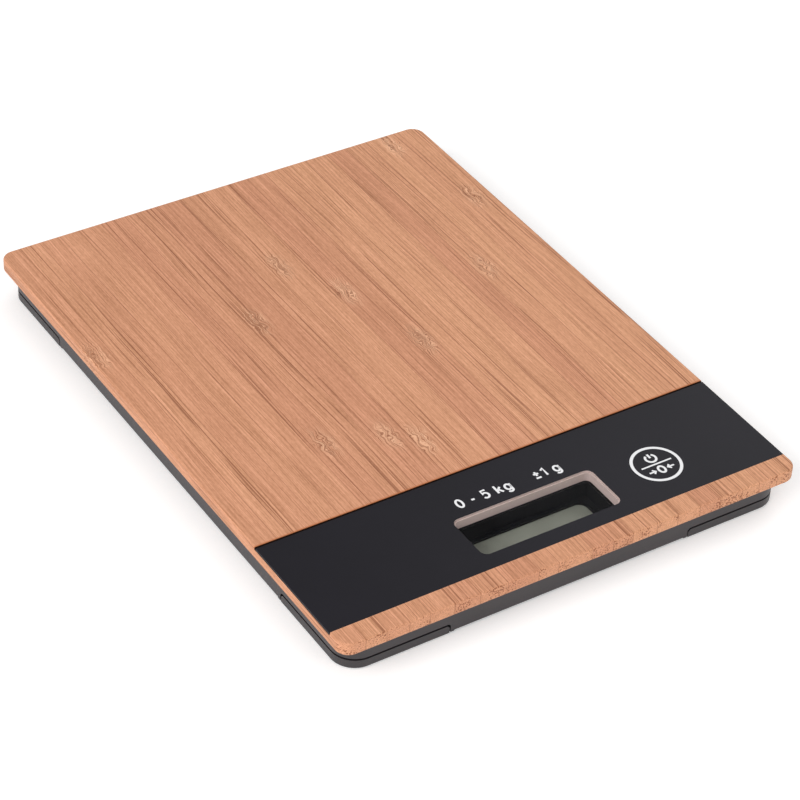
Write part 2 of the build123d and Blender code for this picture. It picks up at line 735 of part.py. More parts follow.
for corner, (side, end) in CORNERS.items():
    NODES[f"foot_{corner}"] = foot(side, end)
    NODES[f"foot_pad_{corner}"] = foot_pad(side, end)
    NODES[f"load_cell_{corner}"] = load_cell(side, end)
    NODES[f"cell_retainer_{corner}"] = cell_retainer(side, end)
    NODES[f"sensor_wires_{corner}"] = group(sensor_wires(side, end))

os.makedirs("parts", exist_ok=True)
for name, shape in NODES.items():
    export_step(shape, f"parts/{name}.step")
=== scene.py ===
import json
import math

import bpy
from mathutils import Matrix, Vector


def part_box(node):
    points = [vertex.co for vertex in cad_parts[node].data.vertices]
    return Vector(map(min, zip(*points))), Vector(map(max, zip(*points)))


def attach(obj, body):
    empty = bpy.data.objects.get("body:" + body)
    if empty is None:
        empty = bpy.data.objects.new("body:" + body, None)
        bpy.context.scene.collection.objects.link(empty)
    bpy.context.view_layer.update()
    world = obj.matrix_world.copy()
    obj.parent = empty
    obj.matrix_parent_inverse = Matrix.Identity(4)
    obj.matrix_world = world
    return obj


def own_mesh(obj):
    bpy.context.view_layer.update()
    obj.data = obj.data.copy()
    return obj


# A bamboo kitchen scale. Scene units are metres and the numbers in this script are millimetres
# unless they say otherwise. The CAD frame has its origin on the table under the middle of the
# platform, the display at the -Y end and +Z up.

MM = 0.001
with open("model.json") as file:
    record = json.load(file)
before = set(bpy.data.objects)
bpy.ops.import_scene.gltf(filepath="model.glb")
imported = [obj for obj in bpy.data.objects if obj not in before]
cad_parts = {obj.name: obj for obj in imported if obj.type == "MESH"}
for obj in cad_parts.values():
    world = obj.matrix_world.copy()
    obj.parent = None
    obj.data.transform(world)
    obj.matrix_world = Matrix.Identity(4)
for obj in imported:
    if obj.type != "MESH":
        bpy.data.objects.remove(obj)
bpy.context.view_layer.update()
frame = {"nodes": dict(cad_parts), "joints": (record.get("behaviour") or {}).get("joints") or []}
nodes = frame["nodes"]
scene = bpy.context.scene


# ---------------------------------------------------------------- places taken from the frame

def box_mm(node):
    """Lowest and highest corner of a CAD node, in millimetres."""
    low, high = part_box(node)
    return Vector(low) / MM, Vector(high) / MM


window_low, window_high = box_mm("display_window")
window_centre = (window_low + window_high) / 2
window_half = (window_high - window_low) / 2
panel_low, panel_high = box_mm("display_panel")
board_low, board_high = box_mm("platform_board")
spring_low, spring_high = box_mm("touch_spring")
key_x, key_y, _ = (spring_low + spring_high) / 2
adhesive_low, _ = box_mm("panel_adhesive")


# ---------------------------------------------------------------- shader graphs

def linear(red, green, blue):
    """A display colour from 0 to 255 as the linear colour that shaders take."""
    def channel(value):
        share = value / 255
        return share / 12.92 if share <= 0.04045 else ((share + 0.055) / 1.055) ** 2.4
    return (channel(red), channel(green), channel(blue), 1.0)


WHITE = (1.0, 1.0, 1.0, 1.0)
# A Mix node has sockets for numbers, vectors and colours: these are its share and colour ones.
MIX_COLOUR_INPUTS = (0, 6, 7)
MIX_COLOUR_OUTPUT = 2
# Noise seldom leaves this range.
NOISE_LOW = 0.3
NOISE_HIGH = 0.7
BEVEL_RAYS = 4
# Cosine between the true normal and the rounded one: on a flat face and on a sharp arris.
EDGE_FLAT = 0.99
EDGE_SHARP = 0.8


class Graph:
    """One material and short ways to add nodes to it. Lengths inside are millimetres."""

    def __init__(self, name):
        self.material = bpy.data.materials.new(name)
        self.material.use_nodes = True
        self.tree = self.material.node_tree
        self.tree.nodes.clear()
        self.output = self.tree.nodes.new("ShaderNodeOutputMaterial")
        self.shader = self.tree.nodes.new("ShaderNodeBsdfPrincipled")
        self.join(self.shader.outputs[0], self.output.inputs["Surface"])
        coordinates = self.tree.nodes.new("ShaderNodeTexCoord")
        to_mm = (1 / MM, 1 / MM, 1 / MM)
        self.point = self.vector("MULTIPLY", coordinates.outputs["Object"], to_mm)

    def join(self, source, target):
        self.tree.links.new(source, target)

    def feed(self, socket, value):
        """Links a socket to another one, or gives it a constant."""
        if isinstance(value, bpy.types.NodeSocket):
            self.join(value, socket)
        else:
            socket.default_value = value

    def set(self, **values):
        """Sets the main shader's inputs by name, with _ for a space."""
        for key, value in values.items():
            self.feed(self.shader.inputs[key.replace("_", " ")], value)

    def vector(self, operation, first, second):
        node = self.tree.nodes.new("ShaderNodeVectorMath")
        node.operation = operation
        self.feed(node.inputs[0], first)
        self.feed(node.inputs[1], second)
        return node.outputs["Vector"]

    def math(self, operation, first, second=0.0, third=0.0):
        node = self.tree.nodes.new("ShaderNodeMath")
        node.operation = operation
        for socket, value in zip(node.inputs, (first, second, third)):
            self.feed(socket, value)
        return node.outputs[0]

    def split(self, vector):
        node = self.tree.nodes.new("ShaderNodeSeparateXYZ")
        self.join(vector, node.inputs[0])
        return node.outputs

    def combine(self, x, y, z):
        node = self.tree.nodes.new("ShaderNodeCombineXYZ")
        for socket, value in zip(node.inputs, (x, y, z)):
            self.feed(socket, value)
        return node.outputs[0]

    def noise(self, vector, scale, detail=2.0, roughness=0.5):
        """Smooth noise around a half, scale being its waves in a millimetre."""
        node = self.tree.nodes.new("ShaderNodeTexNoise")
        self.feed(node.inputs["Vector"], vector)
        node.inputs["Scale"].default_value = scale
        node.inputs["Detail"].default_value = detail
        node.inputs["Roughness"].default_value = roughness
        return node.outputs[0]

    def cells(self, vector, scale):
        """Distance to the nearest of a field of scattered points."""
        node = self.tree.nodes.new("ShaderNodeTexVoronoi")
        self.feed(node.inputs["Vector"], vector)
        node.inputs["Scale"].default_value = scale
        return node.outputs["Distance"]

    def length(self, vector):
        node = self.tree.nodes.new("ShaderNodeVectorMath")
        node.operation = "LENGTH"
        self.join(vector, node.inputs[0])
        return node.outputs["Value"]

    def normal(self):
        """The surface normal's three components."""
        node = self.tree.nodes.new("ShaderNodeNewGeometry")
        return self.split(node.outputs["Normal"])

    def steps(self, value, stops):
        """Three numbers that change in steps: each stop is (place from 0 to 1, numbers)."""
        node = self.tree.nodes.new("ShaderNodeValToRGB")
        ramp = node.color_ramp
        ramp.interpolation = "CONSTANT"
        for place, numbers in stops[1:]:
            ramp.elements.new(place).color = (*numbers, 1.0)
        ramp.elements[0].color = (*stops[0][1], 1.0)
        ramp.elements.remove(ramp.elements[len(ramp.elements) - 1])
        self.feed(node.inputs[0], value)
        return self.split(node.outputs["Color"])

    def ramp(self, value, low, high, bottom=0.0, top=1.0):
        """value from low to high, spread smoothly over bottom to top."""
        node = self.tree.nodes.new("ShaderNodeMapRange")
        node.interpolation_type = "SMOOTHSTEP"
        for key, number in zip(("Value", "From Min", "From Max", "To Min", "To Max"),
                               (value, low, high, bottom, top)):
            self.feed(node.inputs[key], number)
        return node.outputs[0]

    def mix(self, share, first, second, blend="MIX"):
        """From the first colour to the second as share goes from 0 to 1."""
        node = self.tree.nodes.new("ShaderNodeMix")
        node.data_type = "RGBA"
        node.blend_type = blend
        share_socket, first_socket, second_socket = (node.inputs[i] for i in MIX_COLOUR_INPUTS)
        self.feed(share_socket, share)
        self.feed(first_socket, first)
        self.feed(second_socket, second)
        return node.outputs[MIX_COLOUR_OUTPUT]

    def shade(self, colour, factor):
        """A colour made darker or lighter by a factor."""
        return self.mix(1.0, colour, self.combine(factor, factor, factor), "MULTIPLY")

    def cloud(self, value, low, high):
        """A noise's usual range, NOISE_LOW to NOISE_HIGH, spread over low to high."""
        return self.ramp(value, NOISE_LOW, NOISE_HIGH, low, high)

    def edge(self, radius):
        """1 on arrises and 0 on flat faces, within a radius in millimetres."""
        bevel = self.tree.nodes.new("ShaderNodeBevel")
        bevel.samples = BEVEL_RAYS
        bevel.inputs["Radius"].default_value = radius * MM
        geometry = self.tree.nodes.new("ShaderNodeNewGeometry")
        node = self.tree.nodes.new("ShaderNodeVectorMath")
        node.operation = "DOT_PRODUCT"
        self.join(bevel.outputs[0], node.inputs[0])
        self.join(geometry.outputs["Normal"], node.inputs[1])
        return self.ramp(node.outputs["Value"], EDGE_FLAT, EDGE_SHARP)

    def bump(self, height, depth, strength=1.0):
        """Surface relief: depth is the height in millimetres of a change from 0 to 1."""
        node = self.tree.nodes.new("ShaderNodeBump")
        node.inputs["Strength"].default_value = strength
        node.inputs["Distance"].default_value = depth * MM
        self.join(height, node.inputs["Height"])
        self.join(node.outputs[0], self.shader.inputs["Normal"])


# How far each mask reaches past the face that it is for, and how wide the painted shade along the
# slot's back arris is.
MASK_MARGIN = 0.2
FACE_MARGIN = 0.03
SLOT_FRONT_MARGIN = 0.3
SLOT_BACK_MARGIN = 0.6
SLOT_TOP_MARGIN = 0.14
SLOT_FLOOR_MARGIN = 0.05
RIM_START = 0.1
RIM_FULL = 0.5
RIM_END = 1.3
RIM_DEPTH = 0.5


def inside_window(graph):
    """1 in the shaft under the window, below the panel's face, and 0 elsewhere: where the shaded
    walls get painted light.
    """
    x, y, z = graph.split(graph.point)
    near_x = graph.math("LESS_THAN", graph.math("ABSOLUTE", x), window_half.x + MASK_MARGIN)
    offset = graph.math("ABSOLUTE", graph.math("SUBTRACT", y, window_centre.y))
    near_y = graph.math("LESS_THAN", offset, window_half.y + MASK_MARGIN)
    below = graph.math("LESS_THAN", z, panel_high.z - FACE_MARGIN)
    return graph.math("MULTIPLY", graph.math("MULTIPLY", near_x, near_y), below)


def slot_rim_shade(graph):
    """1 on the arris along the slot's back wall, fading out over the board's face: where the
    painted shade of the step face goes.
    """
    _, y, z = graph.split(graph.point)
    rim = graph.ramp(graph.math("SUBTRACT", y, panel_high.y), low=RIM_END, high=RIM_FULL)
    behind = graph.math("GREATER_THAN", y, panel_high.y + RIM_START)
    high = graph.math("GREATER_THAN", z, panel_high.z - RIM_DEPTH)
    return graph.math("MULTIPLY", graph.math("MULTIPLY", rim, behind), high)


def slot_shade_mask(graph):
    """1 on the walls of the board's slot that lie deeper than the panel's face: where the slot's
    painted shade goes.
    """
    _, y, z = graph.split(graph.point)
    ahead = graph.math("GREATER_THAN", y, panel_low.y - SLOT_FRONT_MARGIN)
    behind = graph.math("LESS_THAN", y, panel_high.y + SLOT_BACK_MARGIN)
    below = graph.math("LESS_THAN", z, panel_high.z + SLOT_TOP_MARGIN)
    above = graph.math("GREATER_THAN", z, adhesive_low.z - SLOT_FLOOR_MARGIN)
    along = graph.math("MULTIPLY", ahead, behind)
    return graph.math("MULTIPLY", along, graph.math("MULTIPLY", below, above))


# ---------------------------------------------------------------- materials

# Where each bamboo strip starts across the board, and how light it is from 0 to 1.
STRIPS = (
    (-82.5, 0.36), (-75.0, 0.62), (-68.0, 0.34), (-60.5, 0.52), (-53.0, 0.42), (-45.0, 0.12),
    (-36.0, 0.34), (-26.0, 0.06), (-15.0, 0.46), (-8.0, 0.62), (4.0, 0.08), (12.0, 0.30),
    (19.0, 0.78), (28.0, 0.98), (36.0, 0.80), (44.0, 0.14), (52.0, 0.72), (60.0, 1.00),
    (67.0, 0.70), (74.0, 0.90),
)
# Middles of the wavy marks that the stalk's knuckles leave, across and along the board.
KNUCKLES = (
    (-80, 45), (-26, 36), (-4, 59), (8, 36), (16, 2), (-39, -28), (-20, -34), (-12, -41),
    (56, 26), (68, 103), (76, 63),
)
KNUCKLE_WIDTH = 4.8
KNUCKLE_LENGTH = 11.0
KNUCKLE_EDGE = 1.3
KNUCKLE_CORE = 0.5
KNUCKLE_RAGGED = 0.6
KNUCKLE_SWIRL = 6.5
FAR_AWAY = 9.0
# A seam is where the strip number changes within this distance to either side.
SEAM_HALF = 0.12
SEAM_STEP = 0.01
# A shift across the grain that gives each strip its own piece of the noise.
STRIP_SHIFT = 517.0
GRAIN_WANDER = 3.0
NOISE_MEAN = 0.5
# How long the waves of each noise are drawn out along the board: a smaller share is longer.
SWIRL_DRAWN = 0.8
WANDER_DRAWN = 0.012
BUNDLE_DRAWN = 0.006
FIBRE_DRAWN = 0.008
GAP_DRAWN = 0.04
# The same for the crowding of the bundles through the board's thickness.
CROWD_DRAWN = 0.5
# How much more crowded the bundles are on the board's end faces.
END_CROWD = 0.04
# The streaks' brightness: a base, and the weight of each kind of fibre.
STREAK_BASE = 0.14
BROAD_WEIGHT = 0.2
MIDDLE_WEIGHT = 0.6
FINE_WEIGHT = 0.95
FLECK_WEIGHT = 0.45
FLECK_MEAN = 0.47
# Darker fibres are also redder, so green and blue fall faster than red.
GREEN_FALL = 1.2
BLUE_FALL = 1.5
# How strongly each mark covers the strip's own colour. The pale arris mark is rubbed wood and a
# painted highlight, and the slot's arris mark is painted shade.
KNUCKLE_GLOW = 0.8
LINE_STRENGTH = 0.68
END_LINE_EXTRA = 0.15
SEAM_STRENGTH = 0.5
WEAR_AND_HIGHLIGHT_EDGE = 0.5
WEAR_AND_HIGHLIGHT_STRENGTH = 0.2
RIM_SHADE_STRENGTH = 0.8
LINE_RELIEF = 0.5
BAMBOO_DARK = linear(196, 137, 105)
BAMBOO_LIGHT = linear(207, 150, 114)
BAMBOO_LINE = linear(128, 74, 46)
BAMBOO_PALE = linear(236, 184, 148)
# Painted shade: dark brown for the slot's walls beside and under the panel, where shade falls.
SLOT_SHADE = linear(46, 28, 20)
# Painted shade: orange-brown along the slot's back arris, standing in for the shaded step face.
SLOT_RIM_SHADE = linear(178, 102, 58)
# Painted light: a pale taupe for the walls under the window, standing in for cool light on those
# shaded walls.
CUT_EDGE_PAINTED_LIGHT = linear(238, 216, 206)


def bamboo_strips(graph, x):
    """Each strip's tone and number across the board, and 1 on the seams between them."""
    width = board_high.x - board_low.x
    stops = [
        ((start - board_low.x) / width, (tone, index / len(STRIPS), 0.0))
        for index, (start, tone) in enumerate(STRIPS)
    ]

    def strip_at(shift):
        share = graph.math("DIVIDE", graph.math("ADD", x, shift - board_low.x), width)
        return graph.steps(share, stops)

    tone, strip, _ = strip_at(0.0)
    left = strip_at(-SEAM_HALF)[1]
    right = strip_at(SEAM_HALF)[1]
    seam = graph.math("GREATER_THAN", graph.math("SUBTRACT", right, left), SEAM_STEP)
    return tone, strip, seam


def bamboo_knuckles(graph):
    """1 in the middle of each knuckle mark, falling to 0 at its ragged outline."""
    distance = FAR_AWAY
    for centre_x, centre_y in KNUCKLES:
        gap = graph.vector("SUBTRACT", graph.point, (centre_x, centre_y, 0))
        gap = graph.vector("MULTIPLY", gap, (1 / KNUCKLE_WIDTH, 1 / KNUCKLE_LENGTH, 0))
        distance = graph.math("MINIMUM", distance, graph.length(gap))
    ragged = graph.noise(graph.point, scale=0.4, detail=2.0)
    distance = graph.math("MULTIPLY_ADD", ragged, KNUCKLE_RAGGED, distance)
    return graph.ramp(distance, low=KNUCKLE_EDGE, high=KNUCKLE_CORE)


def bent_grain(graph, x, y, z, strip, knuckle):
    """The place across the grain, bent by the knuckles and by a slow wander of each strip."""
    offset = graph.math("MULTIPLY", strip, STRIP_SHIFT)
    along = graph.math("MULTIPLY", y, SWIRL_DRAWN)
    swirl = graph.noise(graph.combine(x, along, z), scale=0.32, detail=2.0)
    swirl = graph.math("MULTIPLY", graph.math("SUBTRACT", swirl, NOISE_MEAN), KNUCKLE_SWIRL)
    bent = graph.math("MULTIPLY_ADD", swirl, knuckle, x)
    along = graph.math("MULTIPLY", y, WANDER_DRAWN)
    wander = graph.noise(graph.combine(offset, along, 0.0), scale=1.0, detail=1.0)
    bent = graph.math("MULTIPLY_ADD", wander, GRAIN_WANDER, bent)
    return graph.math("ADD", offset, bent)


def fibre_lines(graph, bent, y, z, knuckle, ends):
    """1 on the dark vascular bundles: broken lines along the board and dots on its end faces."""
    along = graph.math("MULTIPLY", y, BUNDLE_DRAWN)
    bundles = graph.cells(graph.combine(bent, along, z), scale=1.5)
    through = graph.math("MULTIPLY", z, CROWD_DRAWN)
    crowd = graph.noise(graph.combine(bent, 0.0, through), scale=0.13, detail=1.0)
    crowd = graph.ramp(crowd, low=0.38, high=0.66, bottom=0.1, top=0.4)
    crowd = graph.math("MULTIPLY_ADD", ends, END_CROWD, crowd)
    lines = graph.ramp(graph.math("SUBTRACT", crowd, bundles), low=-0.01, high=0.07)
    along = graph.math("MULTIPLY", y, GAP_DRAWN)
    broken = graph.noise(graph.combine(bent, along, 0.0), scale=0.8, detail=1.0)
    broken = graph.math("MAXIMUM", graph.ramp(broken, low=0.32, high=0.54), ends)
    return graph.math("MULTIPLY", lines, graph.math("MAXIMUM", broken, knuckle))


def bamboo():
    """Strips glued side by side, fibres along Y, wavy knuckle marks and dotted ends."""
    graph = Graph("bamboo")
    x, y, z = graph.split(graph.point)
    tone, strip, seam = bamboo_strips(graph, x)
    knuckle = bamboo_knuckles(graph)
    bent = bent_grain(graph, x, y, z, strip, knuckle)
    ends = graph.ramp(graph.math("ABSOLUTE", graph.normal()[1]), low=0.5, high=0.8)

    def fibres(scale, stretch, detail):
        place = graph.combine(bent, graph.math("MULTIPLY", y, stretch), z)
        return graph.noise(place, scale, detail, roughness=0.55)

    broad = fibres(scale=0.45, stretch=0.05, detail=2.0)
    middle = fibres(scale=2.2, stretch=FIBRE_DRAWN, detail=2.0)
    fine = fibres(scale=4.2, stretch=FIBRE_DRAWN, detail=1.0)
    flecks = fibres(scale=2.8, stretch=0.22, detail=1.0)
    streaks = graph.math("MULTIPLY_ADD", broad, BROAD_WEIGHT, STREAK_BASE)
    streaks = graph.math("MULTIPLY_ADD", middle, MIDDLE_WEIGHT, streaks)
    streaks = graph.math("MULTIPLY_ADD", fine, FINE_WEIGHT, streaks)
    flecks = graph.math("SUBTRACT", flecks, FLECK_MEAN)
    streaks = graph.math("MULTIPLY_ADD", flecks, FLECK_WEIGHT, streaks)

    green = graph.math("POWER", streaks, GREEN_FALL)
    blue = graph.math("POWER", streaks, BLUE_FALL)
    colour = graph.mix(tone, BAMBOO_DARK, BAMBOO_LIGHT)
    colour = graph.mix(1.0, colour, graph.combine(streaks, green, blue), "MULTIPLY")
    glow = graph.math("MULTIPLY", knuckle, graph.ramp(middle, low=0.40, high=0.60))
    colour = graph.mix(graph.math("MULTIPLY", glow, KNUCKLE_GLOW), colour, BAMBOO_PALE)
    scar = graph.math("MULTIPLY", knuckle, graph.ramp(fine, low=0.50, high=0.44))
    dark = graph.math("MAXIMUM", fibre_lines(graph, bent, y, z, knuckle, ends), scar)
    depth = graph.math("MULTIPLY_ADD", ends, END_LINE_EXTRA, LINE_STRENGTH)
    colour = graph.mix(graph.math("MULTIPLY", dark, depth), colour, BAMBOO_LINE)
    colour = graph.mix(graph.math("MULTIPLY", seam, SEAM_STRENGTH), colour, BAMBOO_LINE)
    # Paler arrises: rubbed wood and a painted highlight on the rounded edges.
    wear_and_highlight = graph.math("MULTIPLY", graph.edge(WEAR_AND_HIGHLIGHT_EDGE), WEAR_AND_HIGHLIGHT_STRENGTH)
    colour = graph.mix(wear_and_highlight, colour, BAMBOO_PALE)
    # Painted shade along the slot's back arris, for the shaded step face.
    rim = graph.math("MULTIPLY", slot_rim_shade(graph), RIM_SHADE_STRENGTH)
    colour = graph.mix(rim, colour, SLOT_RIM_SHADE)
    # Painted shade on the slot's walls and in the gap beside the panel.
    colour = graph.mix(slot_shade_mask(graph), colour, SLOT_SHADE)
    # Painted light on the shaded walls of the shaft under the window.
    colour = graph.mix(inside_window(graph), colour, CUT_EDGE_PAINTED_LIGHT)

    relief = graph.math("SUBTRACT", streaks, graph.math("MULTIPLY", dark, LINE_RELIEF))
    roughness = graph.ramp(streaks, low=0.8, high=1.2, bottom=0.44, top=0.62)
    graph.set(Base_Color=colour, Roughness=roughness, Specular_IOR_Level=0.18)
    graph.bump(relief, depth=0.06, strength=0.6)
    return graph.material


MOULDED_EDGE = 0.35
# How much paler and how much smoother an edge of moulded plastic is: paler from rubbing and from a
# painted highlight, smoother from rubbing.
EDGE_GAIN = 1.8
EDGE_LIFT = 0.01
EDGE_POLISH = 0.1


def moulded(name, base, rough, grain=0.02, edge_wear_and_highlight=0.35, gloss=0.45):
    """Moulded plastic: grain is the depth of its fine texture, and the number after it how pale
    its edges are, for rubbing and a painted highlight.
    """
    graph = Graph(name)
    cloud = graph.noise(graph.point, scale=0.05, detail=3.0)
    pores = graph.noise(graph.point, scale=4.5, detail=3.0, roughness=0.7)
    shade = graph.cloud(cloud, low=0.88, high=1.12)
    colour = graph.shade(base, shade)
    paler = tuple(min(1.0, value * EDGE_GAIN + EDGE_LIFT) for value in base[:3]) + (1.0,)
    edge = graph.edge(MOULDED_EDGE)
    # Paler edges: rubbed plastic and a painted highlight.
    colour = graph.mix(graph.math("MULTIPLY", edge, edge_wear_and_highlight), colour, paler)
    roughness = graph.cloud(pores, low=rough - 0.06, high=rough + 0.08)
    roughness = graph.math("MULTIPLY_ADD", edge, -EDGE_POLISH, roughness)
    graph.set(Base_Color=colour, Roughness=roughness, Specular_IOR_Level=gloss)
    graph.bump(pores, depth=grain)
    return graph.material


# The panel's hairlines: how far they are drawn out, how they slant, and how dull they are.
HAIRLINE_DRAWN = 0.04
HAIRLINE_SLANT = 0.35
HAIRLINE_DULL = 0.08


def panel_black():
    """Satin sheet, printed black from behind: faint cloudiness, hairlines, and its cut edge under
    the window made pale as painted light.
    """
    graph = Graph("panel_black")
    base = linear(20, 18, 26)
    cloud = graph.noise(graph.point, scale=0.03, detail=3.0)
    shade = graph.cloud(cloud, low=0.9, high=1.1)
    colour = graph.shade(base, shade)
    x, y, z = graph.split(graph.point)
    slanted = graph.math("MULTIPLY_ADD", x, HAIRLINE_SLANT, y)
    drawn = graph.math("MULTIPLY", x, HAIRLINE_DRAWN)
    hairline = graph.cells(graph.combine(drawn, slanted, z), scale=1.4)
    hairline = graph.ramp(hairline, low=0.035, high=0.0)
    matt = graph.noise(graph.point, scale=7.0, detail=2.0, roughness=0.6)
    roughness = graph.cloud(matt, low=0.33, high=0.43)
    roughness = graph.math("MULTIPLY_ADD", hairline, HAIRLINE_DULL, roughness)
    # Painted light on the panel's cut edge in the shaft under the window.
    colour = graph.mix(inside_window(graph), colour, CUT_EDGE_PAINTED_LIGHT)
    graph.set(Base_Color=colour, Roughness=roughness, Specular_IOR_Level=0.15)
    graph.bump(matt, depth=0.004)
    return graph.material


LENS_TINT = (0.93, 0.93, 0.94, 1.0)


def window_lens():
    """Clear acrylic: mostly lets light through, with a faint haze and reflection."""
    graph = Graph("window_lens")
    smear = graph.noise(graph.point, scale=0.12, detail=3.0)
    graph.set(Base_Color=graph.mix(smear, linear(16, 16, 20), linear(26, 26, 30)))
    graph.set(Roughness=graph.cloud(smear, low=0.08, high=0.2))
    clear = graph.tree.nodes.new("ShaderNodeBsdfTransparent")
    clear.inputs[0].default_value = LENS_TINT
    blend = graph.tree.nodes.new("ShaderNodeMixShader")
    graph.join(graph.cloud(smear, low=0.04, high=0.06), blend.inputs[0])
    graph.join(clear.outputs[0], blend.inputs[1])
    graph.join(graph.shader.outputs[0], blend.inputs[2])
    graph.join(blend.outputs[0], graph.output.inputs["Surface"])
    return graph.material


def lcd_glass():
    """Grey-green reflective liquid crystal under a matt polariser, with no digits lit."""
    graph = Graph("lcd_glass")
    cloud = graph.noise(graph.point, scale=0.08, detail=2.0)
    speckle = graph.noise(graph.point, scale=12.0, detail=1.0)
    shade = graph.cloud(cloud, low=0.94, high=1.06)
    shade = graph.math("MULTIPLY_ADD", speckle, 0.06, shade)
    base = linear(158, 161, 145)
    colour = graph.shade(base, shade)
    graph.set(Base_Color=colour, Roughness=graph.cloud(speckle, low=0.3, high=0.42))
    graph.bump(speckle, depth=0.002)
    return graph.material


def printed_ink():
    """White screen-printed ink with a slightly uneven film."""
    graph = Graph("printed_ink")
    film = graph.noise(graph.point, scale=5.0, detail=3.0, roughness=0.7)
    shade = graph.cloud(film, low=0.9, high=1.0)
    colour = graph.shade(linear(240, 240, 242), shade)
    graph.set(Base_Color=colour, Roughness=graph.cloud(film, low=0.45, high=0.6))
    graph.bump(film, depth=0.006)
    return graph.material


def metal(name, base, rough, stretch=(1.0, 1.0, 1.0)):
    """Plated or stamped metal with fine directional lines."""
    graph = Graph(name)
    drawn = graph.vector("MULTIPLY", graph.point, stretch)
    lines = graph.noise(drawn, scale=3.0, detail=3.0, roughness=0.6)
    tarnish = graph.noise(graph.point, scale=0.4, detail=3.0)
    shade = graph.cloud(tarnish, low=0.82, high=1.05)
    colour = graph.shade(base, shade)
    graph.set(Base_Color=colour, Metallic=1.0)
    graph.set(Roughness=graph.cloud(lines, low=rough - 0.07, high=rough + 0.1))
    graph.bump(lines, depth=0.004)
    return graph.material


TRACK_RASTER = 0.8
TRACK_STRENGTH = 0.5


def circuit_board():
    """Green solder mask over copper tracks laid on a raster."""
    graph = Graph("circuit_board")
    x, y, _ = graph.split(graph.point)
    tracks = graph.cells(graph.combine(graph.math("SNAP", x, TRACK_RASTER), y, 0.0), scale=0.35)
    tracks = graph.ramp(tracks, low=0.5, high=0.55)
    cloud = graph.noise(graph.point, scale=0.2, detail=2.0)
    mask = graph.mix(cloud, linear(14, 72, 42), linear(22, 92, 54))
    colour = graph.mix(graph.math("MULTIPLY", tracks, TRACK_STRENGTH), mask, linear(40, 118, 70))
    graph.set(Base_Color=colour, Roughness=graph.cloud(cloud, low=0.25, high=0.4))
    graph.bump(tracks, depth=0.02)
    return graph.material


FLOOR_GLOW = 0.22


def floor_paper():
    """Seamless pale paper, lit a little from below like a light table."""
    graph = Graph("floor_paper")
    fibre = graph.noise(graph.point, scale=0.8, detail=4.0, roughness=0.6)
    cloud = graph.noise(graph.point, scale=0.004, detail=2.0)
    colour = graph.mix(cloud, linear(246, 246, 246), linear(250, 250, 250))
    graph.set(Base_Color=colour, Roughness=graph.cloud(fibre, low=0.75, high=0.9))
    graph.set(Specular_IOR_Level=0.2, Emission_Color=WHITE, Emission_Strength=FLOOR_GLOW)
    graph.bump(fibre, depth=0.02)
    return graph.material


def dress(prefix, material):
    """Gives a material to every CAD node whose name starts with prefix."""
    for name, node in nodes.items():
        if name.startswith(prefix):
            node.data.materials.clear()
            node.data.materials.append(material)


tray_plastic = moulded("tray_plastic", linear(42, 37, 40), rough=0.42, gloss=0.6)
foot_plastic = moulded("foot_plastic", linear(40, 36, 39), rough=0.44, gloss=0.6)
# How sheet metal's fine lines are drawn out: the smallest number is the way that they run.
BRUSHED = (0.2, 3.0, 1.0)
ROLLED = (0.3, 4.0, 1.0)

screw_steel = metal("screw_steel", linear(176, 174, 168), rough=0.32)
plated_contact = metal("plated_contact", linear(205, 198, 180), rough=0.25)
# Materials by the start of a node's name. Where two fit, the later one is used.
DRESSING = {
    "platform_board": bamboo(),
    "display_panel": panel_black(),
    "panel_adhesive": moulded("adhesive_film", linear(90, 84, 78), rough=0.6),
    "display_window": window_lens(),
    "display_shroud": moulded("shroud_plastic", linear(9, 9, 12), rough=0.65, gloss=0.15),
    "lcd_panel": lcd_glass(),
    "lcd_foam_pad": moulded("foam", linear(48, 48, 50), rough=0.9, grain=0.1),
    "lcd_foil_connector": moulded("foil", linear(150, 96, 40), rough=0.35, grain=0.005),
    "main_pcb": circuit_board(),
    "controller_chip": moulded("resin_drop", linear(20, 20, 22), rough=0.25, grain=0.004),
    "pcb_capacitors": moulded("capacitor_ceramic", linear(176, 140, 98), rough=0.5, grain=0.01),
    "pcb_resistors": moulded("resistor_ceramic", linear(24, 24, 26), rough=0.4, grain=0.01),
    "touch_spring": metal("spring_wire", linear(190, 190, 188), rough=0.25),
    "unit_switch": moulded("switch_plastic", linear(34, 34, 36), rough=0.5),
    "switch_plunger": moulded("plunger_plastic", linear(170, 60, 40), rough=0.5),
    "unit_button": moulded("button_plastic", linear(66, 63, 66), rough=0.45),
    "base_tray": tray_plastic,
    "battery_door": moulded("door_plastic", linear(56, 53, 56), rough=0.5),
    "strain_gauges": moulded("gauge_film", linear(196, 140, 60), rough=0.4, grain=0.005),
    "coin_cell": metal("cell_steel", linear(214, 212, 206), rough=0.2, stretch=BRUSHED),
    "battery_contact": plated_contact,
    "tray_screws": screw_steel,
    "retainer_screws": screw_steel,
    "shroud_screws": screw_steel,
    "pcb_screws": screw_steel,
    "battery_wires": moulded("wire_red", linear(150, 26, 22), rough=0.4, grain=0.01),
    "sensor_wires": moulded("wire_grey", linear(170, 168, 164), rough=0.45, grain=0.01),
    "foot_": foot_plastic,
    "foot_pad": moulded("pad_rubber", linear(34, 34, 35), rough=0.85, grain=0.05),
    "load_cell": metal("cell_plate_steel", linear(168, 168, 170), rough=0.35, stretch=ROLLED),
    "cell_retainer": moulded("retainer_plastic", linear(190, 188, 180), rough=0.5),
}
for prefix, material in DRESSING.items():
    dress(prefix, material)

FOOT_JOINT = "foot_press_"


